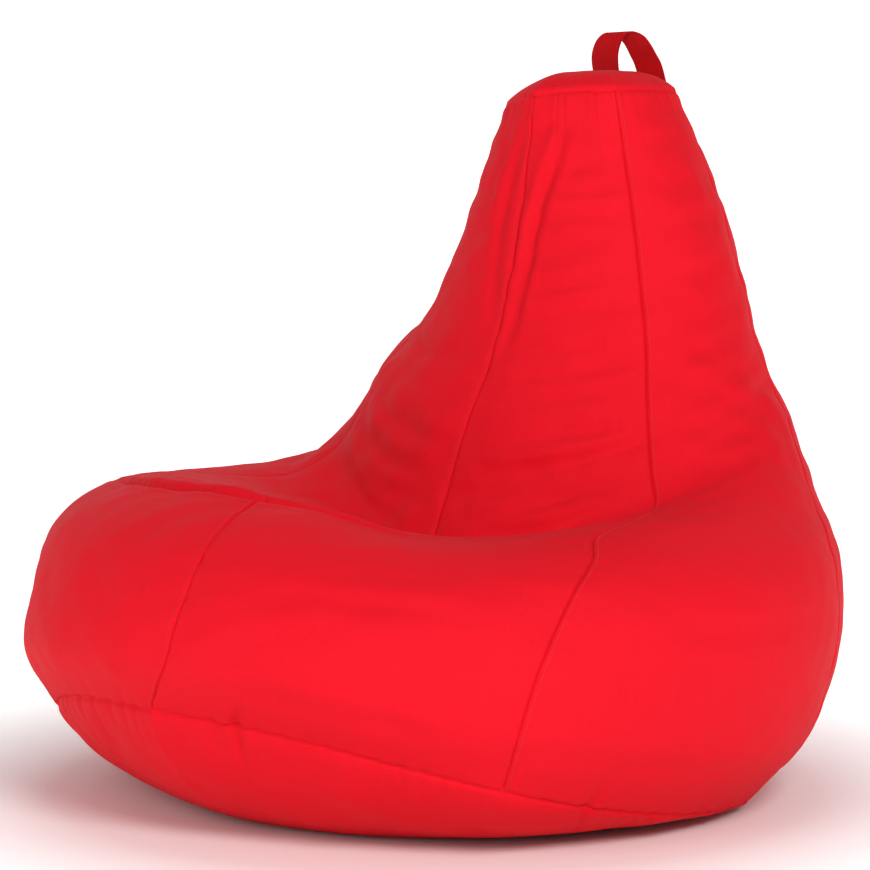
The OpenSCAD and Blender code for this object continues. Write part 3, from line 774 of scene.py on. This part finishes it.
RED, DEEP_RED = srgb(228, 20, 38), srgb(214, 9, 27)
woven(cover_cloth, RED, DEEP_RED, THREADS)
for i, side in enumerate(GORE_SIDES):
    grid = cover_gore(i)
    gore_shapes[i] = grid
    panel = mesh_object("cover_gore_piece_" + side, grid, grid_faces(*grid.shape[:2]), spread(grid))
    dress(panel, cover_cloth)
    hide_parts("cover_gore_" + side)
    flat, area = cut_size(grid)

# ---------------------------------------------------------------------------
# Base panel: one round of the same polyester under the chair, gathered a little
# into the base seam and pressed flat on the floor by the filling.
# ---------------------------------------------------------------------------
under_th = np.arange(0, 360, .6)
under_w = np.concatenate([[0, .0022, .005, .009, .014, .020, .028, .038, .05, .065, .08, .1],
                          np.linspace(.125, 1, 44)])
under = np.stack([underside(under_th, w, 0.0) for w in under_w], 1)
gap_in = np.concatenate([np.zeros((len(under), 1)),
                         np.cumsum(np.linalg.norm(np.diff(under, axis=1), axis=-1), 1)], 1)
across = np.roll(under, -1, 0) - np.roll(under, 1, 0)
inward = np.gradient(under, axis=1)
face = np.cross(inward, across)
face /= np.maximum(np.linalg.norm(face, axis=-1, keepdims=True), 1e-12)
lip = outward(under_th, np.zeros_like(under_th))
turn = np.exp(-gap_in/.006)[..., None]
face = face*(1 - turn) + lip[:, None]*turn
face /= np.linalg.norm(face, axis=-1, keepdims=True)
under_deg = np.broadcast_to(under_th[:, None], gap_in.shape)
low_lift = -.0026*np.exp(-(gap_in/.0030)**2) + .0036*base_gather(under_deg)*np.exp(-gap_in/.028)
low_lift = low_lift + .0006*np.exp(-((gap_in - .014)/.012)**2)
for at, deep in PUCKERS:
    off = np.radians(turned(under_deg - at))*.42
    low_lift = low_lift - deep*np.exp(-(off/.0055)**2)*np.exp(-(gap_in/.045)**2)
low_lift = low_lift + .0022*irregular(under_deg/360, (11, 17, 25), 91)*np.exp(-((gap_in - .06)/.05)**2)
high = np.clip(under[..., 2]/.03, 0, 1)
under = under + face*(low_lift + lumps(under))[..., None]*np.maximum(high, np.exp(-gap_in/.02))[..., None]
under[..., 2] = np.maximum(under[..., 2], .0002)
allowance = [skin(under_th, np.full_like(under_th, ring))
             - outward(under_th, np.full_like(under_th, ring))*behind
             for ring, behind in ((.14, .0060), (.05, .0040))]
under = np.concatenate([np.stack(allowance, 1), under], 1)
hub = np.array([*(-middle[:2] + [0, REST_BACK]), .0002])
under = np.concatenate([under, np.stack([under[:, -1]*(1 - w) + hub*w for w in (.3, .6, .9)], 1)], 1)
n, m = under.shape[:2]
base_piece = mesh_object("cover_base_piece", under, grid_faces(n, m, wrap=True, flip=True)
                         + [tuple(i*m + m - 1 for i in range(n))], under[..., :2])
dress(base_piece, cover_cloth)
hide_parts("cover_base")

# ---------------------------------------------------------------------------
# Cap: a small round of the same cloth that closes the neck, seamed over the
# gathered tops of the gores and stitched down a second time on its own edge.
# ---------------------------------------------------------------------------
CAP_RISE, LOOP_AT, LIFT_WIDTH = .027, 187, 70
WEB_THICK, SEAM_CUT = .0018, .0003
cap_th = np.arange(0, 360, 1.5)
cap_rim = skin(cap_th, np.full_like(cap_th, TOP))
cap_hub = cap_rim.mean(0)


def cap_lift(th):
    return SEAM_CUT + (WEB_THICK + SEAM_CUT)*np.minimum(1, 2*near(turned(th - LOOP_AT), LIFT_WIDTH))


cap_w = np.concatenate([[0, .006, .014, .024, .036, .05, .066, .085, .11, .14], np.linspace(.18, .97, 20)])
cap = []
for w in cap_w:
    p = cap_rim*(1 - w) + cap_hub*w
    p[:, 2] += cap_lift(cap_th)*(1 - w) + CAP_RISE*math.sin(math.pi/2*w*(2 - w)) + COVER_THICK
    rim_gap = w*np.linalg.norm(cap_rim - cap_hub, axis=1)
    p[:, 2] += -.0030*np.exp(-(rim_gap/.0022)**2) + .0030*cap_gather(cap_th)*np.exp(-rim_gap/.020)
    p[:, 2] += (-.0009*np.exp(-((rim_gap - STITCH_IN)/.0010)**2)
                + .0007*irregular(cap_th/360, (3, 5, 8), 44)*np.sin(np.pi*w))
    out = outward(cap_th, np.full_like(cap_th, TOP))
    p[:, :2] -= (out[:, :2]*.0016*np.exp(-(rim_gap/.002)**2)[:, None])
    cap.append(p)
cap = np.stack(cap, 1)
tuck = cap[:, :1] - np.array([0, 0, COVER_THICK + .0010])
cap = np.concatenate([tuck, cap], 1)
n, m = cap.shape[:2]
cap_piece = mesh_object("cover_cap_piece", cap, grid_faces(n, m, wrap=True)
                        + [tuple(i*m + m - 1 for i in range(n))[::-1]], cap[..., :2])
cap_cloth = Finish("cap_polyester", Specular_IOR_Level=.10, Sheen_Weight=.02, Sheen_Roughness=.4,
                   Sheen_Tint=(1, .6, .6, 1))
woven(cap_cloth, RED, DEEP_RED, THREADS)
dress(cap_piece, cap_cloth)
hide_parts("cover_cap")

# ---------------------------------------------------------------------------
# Topstitching: red spun polyester thread, a lockstitch every 4 mm, holding the
# felled seams flat on the gores and the cap's edge down on its allowance.
# ---------------------------------------------------------------------------
STITCH_PITCH, STITCH_LONG, THREAD_HALF = .0042, .0031, .00042
stitch_points, stitch_faces = [], []
bead_shape = [(-.5, .25), (-.3, .85), (0, 1), (.3, .85), (.5, .25)]


def sew(path, normals):
    """Lay stitches on a line of points, half sunk into the cloth."""
    gone = np.concatenate([[0], np.cumsum(np.linalg.norm(np.diff(path, axis=0), axis=1))])
    for s in np.arange(STITCH_PITCH, gone[-1] - STITCH_PITCH, STITCH_PITCH):
        here = np.array([np.interp(s, gone, path[:, k]) for k in range(3)])
        ahead = np.array([np.interp(s + .001, gone, path[:, k]) for k in range(3)]) - here
        ahead /= np.linalg.norm(ahead)
        up = np.array([np.interp(s, gone, normals[:, k]) for k in range(3)])
        up -= ahead*(up @ ahead)
        up /= np.linalg.norm(up)
        out = np.cross(ahead, up)
        start = len(stitch_points)
        for t, r in bead_shape:
            for a in np.arange(6)*np.pi/3:
                stitch_points.append(here + ahead*t*STITCH_LONG + up*(.0002 + THREAD_HALF*r*math.sin(a))
                                     + out*THREAD_HALF*r*math.cos(a))
        for j in range(4):
            stitch_faces.extend((start + j*6 + k, start + j*6 + (k + 1) % 6,
                                 start + j*6 + 6 + (k + 1) % 6, start + j*6 + 6 + k) for k in range(6))
        stitch_faces.append(tuple(start + k for k in range(6))[::-1])
        stitch_faces.append(tuple(start + 24 + k for k in range(6)))


edge_col = 2 + int(np.argmin(np.abs(EDGE_STEPS - STITCH_IN)))
for seam in range(6):
    for gore, col in (((seam - 1) % 6, -1 - edge_col),) if seam == 0 else ((seam, edge_col),):
        line = gore_shapes[gore][col]
        ups = outward(np.full(len(row_steps), float(GORE*seam)), row_steps)
        sew(line, ups)
zip_line = gore_shapes[2][-1 - edge_col][(row_steps > ZIP_FIRST_V - .1) & (row_steps < ZIP_LAST_V + .1)]
zip_rows = row_steps[(row_steps > ZIP_FIRST_V - .1) & (row_steps < ZIP_LAST_V + .1)]
sew(zip_line, outward(np.full(len(zip_rows), 180.0), zip_rows))
cap_row = 1 + int(np.argmin(np.abs(cap_w*.105 - STITCH_IN)))
cap_line = np.concatenate([cap[:, cap_row], cap[:1, cap_row]])
sew(cap_line, np.broadcast_to([0.0, 0, 1], cap_line.shape))
stitching = mesh_object("cover_topstitching", np.array(stitch_points), stitch_faces)
thread = Finish("red_thread", Roughness=.6, Sheen_Weight=.1)
ply = thread.noise(2600.0, 2)
thread.feed("Base Color", thread.tone(ply, srgb(226, 30, 46), srgb(180, 14, 28)))
thread.bump(ply, .0002)
dress(stitching, thread)

# ---------------------------------------------------------------------------
# Hang loop: 38 mm polyester webbing, 1.8 mm thick, bent over and leaning forward.
# Both ends go in between the cap and the gores and are sewn into the rear seam.
# ---------------------------------------------------------------------------
WEB_WIDE, LOOP_GAP, LOOP_HIGH, LOOP_RISE = .038, .060, .072, .0009
END_OUT, END_IN, END_TOP, END_TUCK = .0004, .0034, .005, .016
LOOP_PATH = [(-1, 0, 0), (-1, .17, .18), (-.97, .29, .38), (-.87, .38, .63), (-.6, .42, .86),
             (-.2, .41, .98), (.27, .36, .93), (.53, .29, .79), (.67, .19, .61), (.8, .11, .44),
             (.93, .04, .16), (1, 0, 0)]
rim_r = float(np.linalg.norm(skin(float(LOOP_AT), float(TOP)) - cap_hub))
end_turn = math.degrees(math.asin(LOOP_GAP/2/rim_r))


def rim_out(th):
    t = skin(th + 4, np.full_like(th, TOP)) - skin(th - 4, np.full_like(th, TOP))
    u = np.stack([t[:, 1], -t[:, 0], 0*th], -1)
    return u/np.linalg.norm(u, axis=-1, keepdims=True)


def end_point(th, rho, z):
    th = np.atleast_1d(np.asarray(th, float))
    return skin(th, np.full_like(th, TOP)) + rho*rim_out(th) + np.array([0, 0, z])


end_left = end_point(LOOP_AT + end_turn, END_OUT + WEB_THICK/2, END_TOP)[0]
end_right = end_point(LOOP_AT - end_turn, END_OUT + WEB_THICK/2, END_TOP)[0]
flop = (end_left + end_right)/2
flop[2] = max(end_left[2], end_right[2]) + LOOP_RISE
flop_dir = (end_right - end_left)*np.array([1, 1, 0])
flop_dir /= np.linalg.norm(flop_dir)
forward = np.array([flop_dir[1], -flop_dir[0], 0])
web_a = np.concatenate([[-.5, -.497, -.488, -.47, -.44],
                        np.linspace(-.40, .40, 15), [.44, .47, .488, .497, .5]])*WEB_WIDE
web_t = WEB_THICK/2*np.sqrt(np.clip(1 - ((np.abs(web_a) - (WEB_WIDE/2 - .0010))/.0010).clip(0, 1)**2, .02, 1))
web_turn = np.degrees(np.arcsin(web_a/rim_r))
tucked = through([(-END_IN - .0009, -END_TUCK), (-END_IN - .0009, -.008),
                  (-END_IN - .0009, -.002), (-.0018, .0012),
                  (-.0002, .0015), (END_OUT + WEB_THICK/2, .0034), (END_OUT + WEB_THICK/2, END_TOP)], 26)
rows = [end_point(LOOP_AT + end_turn - web_turn, r, z) for r, z in tucked]
for p in through(LOOP_PATH, 96)[1:-1]:
    at = flop + p[0]*LOOP_GAP/2*flop_dir + p[1]*LOOP_HIGH*forward + np.array(
        [0, 0, p[2]*LOOP_HIGH + LOOP_RISE])
    rows.append(at + web_a[:, None]*flop_dir)
rows += [end_point(LOOP_AT - end_turn - web_turn, r, z) for r, z in tucked[::-1]]
web = np.array(rows)
gone = np.concatenate([[0], np.cumsum(np.linalg.norm(np.diff(web[:, len(web_a)//2], axis=0), axis=1))])
for k in range(len(web_a)):
    for c in range(3):
        web[26:-26, k, c] = np.convolve(np.pad(web[:, k, c], 2, mode="edge"),
                                      [.1, .2, .4, .2, .1], "valid")[26:-26]
tangent = np.gradient(web, axis=0)
side_way = np.gradient(web, axis=1)
face = np.cross(tangent, side_way)
face /= np.linalg.norm(face, axis=-1, keepdims=True)
wave = .0005*np.sin(gone*95)[:, None]*np.sin(web_a/WEB_WIDE*np.pi)*np.clip(
    np.sin(np.pi*gone/gone[-1])*3 - .8, 0, 1)[:, None]
outer, inner = web + face*(web_t + wave)[..., None], web - face*(web_t - wave)[..., None]
strap = np.concatenate([outer, inner[:, ::-1]], 1).transpose(1, 0, 2)
lie_u = np.concatenate([web_a, web_a[::-1]])
lie = np.stack([np.broadcast_to(lie_u[:, None], strap.shape[:2]), np.broadcast_to(gone, strap.shape[:2])], -1)
n, m = strap.shape[:2]
loop_piece = mesh_object("hang_loop_webbing", strap, grid_faces(n, m, wrap=True)
                         + [tuple(i*m for i in range(n))[::-1], tuple(i*m + m - 1 for i in range(n))], lie)
webbing = Finish("red_webbing", Specular_IOR_Level=.12, Sheen_Weight=.03)
u, v = webbing.flat()
herring = ((u*3100).sine()*.5 + (v*2500).sine()*.35 + (v*1250 + (u*1550).sine()*2).sine()*.4)
# The webbing's colour darkens over the last 2.4 mm of each long edge: painted shade at the strap's edges.
painted_edge_shade = (u.size()*1000 - 16.6).clamped()
scuff = webbing.noise(260.0, 3)
webbing.feed("Base Color", webbing.tone((herring*.30 + scuff*.5 + .22 - painted_edge_shade*.2).clamped(),
                                        srgb(160, 1, 7), srgb(208, 5, 16)))
webbing.feed("Roughness", scuff*.12 + .58)
webbing.bump(herring*.8 + scuff*.3, .00035)
dress(loop_piece, webbing, body=None)
tuple(flop - np.array([0, 0, .0035]))
tuple(flop + np.array([0, 0, .0065]))
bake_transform(loop_piece)
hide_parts("hang_loop", "hang_loop_end_left", "hang_loop_end_right")

# ---------------------------------------------------------------------------
# Back zip: a red nylon coil zip up the centre back seam, woven tapes sewn under
# the turned-in edges of the gores, a cast slider and a flat pull on its bar.
# ---------------------------------------------------------------------------
zip_axis = np.array([-middle[0], zip_mid[0] - middle[1], zip_mid[1]])


def zip_height(v):
    return ring_at(np.array(v))[5]*SCALE[2]


zip_start = math.asin((zip_height(ZIP_FIRST_V) - zip_axis[2])/zip_r)*zip_r
zip_end = math.asin((zip_height(ZIP_LAST_V) - zip_axis[2])/zip_r)*zip_r


def back_zip_at(s, across, up):
    a = s/zip_r
    return (zip_axis[0] + across, zip_axis[1] + (zip_r + up)*math.cos(a),
            zip_axis[2] + (zip_r + up)*math.sin(a))


back_tape, back_coil = tape_finish("cover_zip_tape", srgb(196, 18, 34), srgb(150, 8, 22)), \
    coil_finish("cover_zip_nylon", srgb(176, 12, 28))
for side, way in (("left", -1), ("right", 1)):
    zip_tape("cover_zip_tape_piece_" + side, back_zip_at, zip_start - TAPE_TAIL, zip_end + TAPE_TAIL, way,
             COVER_THICK + TAPE_DROP, back_tape, "cover_zip_tape_" + side)
    zip_coil("cover_zip_coil_piece_" + side, back_zip_at, zip_start + STOP_LONG, zip_end - STOP_LONG, way,
             COVER_THICK + TAPE_DROP, back_coil, "cover_zip_coil_" + side)
for node in ("cover_zip_top_stop", "cover_zip_bottom_stop", "cover_zip_slider", "cover_zip_pull"):
    refinish(node, zip_metal)

# ---------------------------------------------------------------------------
# The room: a pale seamless floor that sweeps up behind, soft even daylight, and
# a long lens at sitting height, an eighth of a turn round to the chair's left arm.
# ---------------------------------------------------------------------------
sweep = []
for y in np.linspace(-6, 5, 12):
    sweep.append((y, 0.0))
for a in np.linspace(0, math.pi/2, 14)[1:]:
    sweep.append((5 + 2.5*math.sin(a), 2.5 - 2.5*math.cos(a)))
sweep.append((7.5, 6.0))
turn_by = math.radians(45)
floor_points = []
for x in np.linspace(-9, 9, 10):
    for y, z in sweep:
        floor_points.append((x*math.cos(turn_by) - y*math.sin(turn_by),
                             x*math.sin(turn_by) + y*math.cos(turn_by), z))
floor = mesh_object("floor_sweep", floor_points, grid_faces(10, len(sweep)))
paper = Finish("pale_floor", Roughness=.9, Specular_IOR_Level=.1, Emission_Strength=.6)
tooth = paper.noise(60.0, 4)
paper.feed("Base Color", paper.tone(tooth, (.93, .93, .93, 1), (.955, .955, .955, 1)))
across, deep = [paper.node("ShaderNodeSeparateXYZ", inputs={0: paper.place()}, out=k) for k in (0, 1)]
# The floor glows: its emission is black within .45 m of the chair's middle and full white past .78 m, so the
# floor carries painted light with a painted shadow round the chair's foot.
floor_glow_past_painted_shadow = ((across*across + deep*deep)**.5 - .45)*3
paper.feed("Emission Color", paper.tone(floor_glow_past_painted_shadow.clamped(), (0, 0, 0, 1), (1, 1, 1, 1)))
paper.bump(tooth, .0002, .3)
floor.data.materials.append(paper.material)

sky = bpy.data.worlds.new("daylight")
scene.world = sky
sky.use_nodes = True
sky.node_tree.nodes["Background"].inputs["Color"].default_value = (1, 1, 1, 1)
sky.node_tree.nodes["Background"].inputs["Strength"].default_value = .34


def softbox(name, place, aim, wide, power):
    light = bpy.data.lights.new(name, "AREA")
    light.shape, light.size, light.energy = "DISK", wide, power
    lamp = bpy.data.objects.new(name, light)
    scene.collection.objects.link(lamp)
    lamp.location = place
    lamp.rotation_euler = (Vector(aim) - Vector(place)).to_track_quat("-Z", "Y").to_euler()


softbox("key_light", (3.4, -1.4, 2.6), (0, 0, .35), 1.6, 98)
softbox("fill_light", (.4, -3.6, 1.5), (0, 0, .4), 2.2, 36)

camera = bpy.data.objects.new("camera", bpy.data.cameras.new("camera"))
scene.collection.objects.link(camera)
camera.data.lens, camera.data.sensor_width, camera.data.shift_y = 127, 36, .075
CAMERA_ROUND, CAMERA_UP, CAMERA_OFF, AIM_HEIGHT = math.radians(45), math.radians(6.5), 3.61, .34
camera.location = (CAMERA_OFF*math.cos(CAMERA_UP)*math.sin(CAMERA_ROUND),
                   -CAMERA_OFF*math.cos(CAMERA_UP)*math.cos(CAMERA_ROUND),
                   AIM_HEIGHT + CAMERA_OFF*math.sin(CAMERA_UP))
looking = Vector((0, 0, AIM_HEIGHT)) - Vector(camera.location)
camera.rotation_euler = looking.to_track_quat("-Z", "Y").to_euler()
scene.camera = camera
scene.view_settings.view_transform = "Standard"
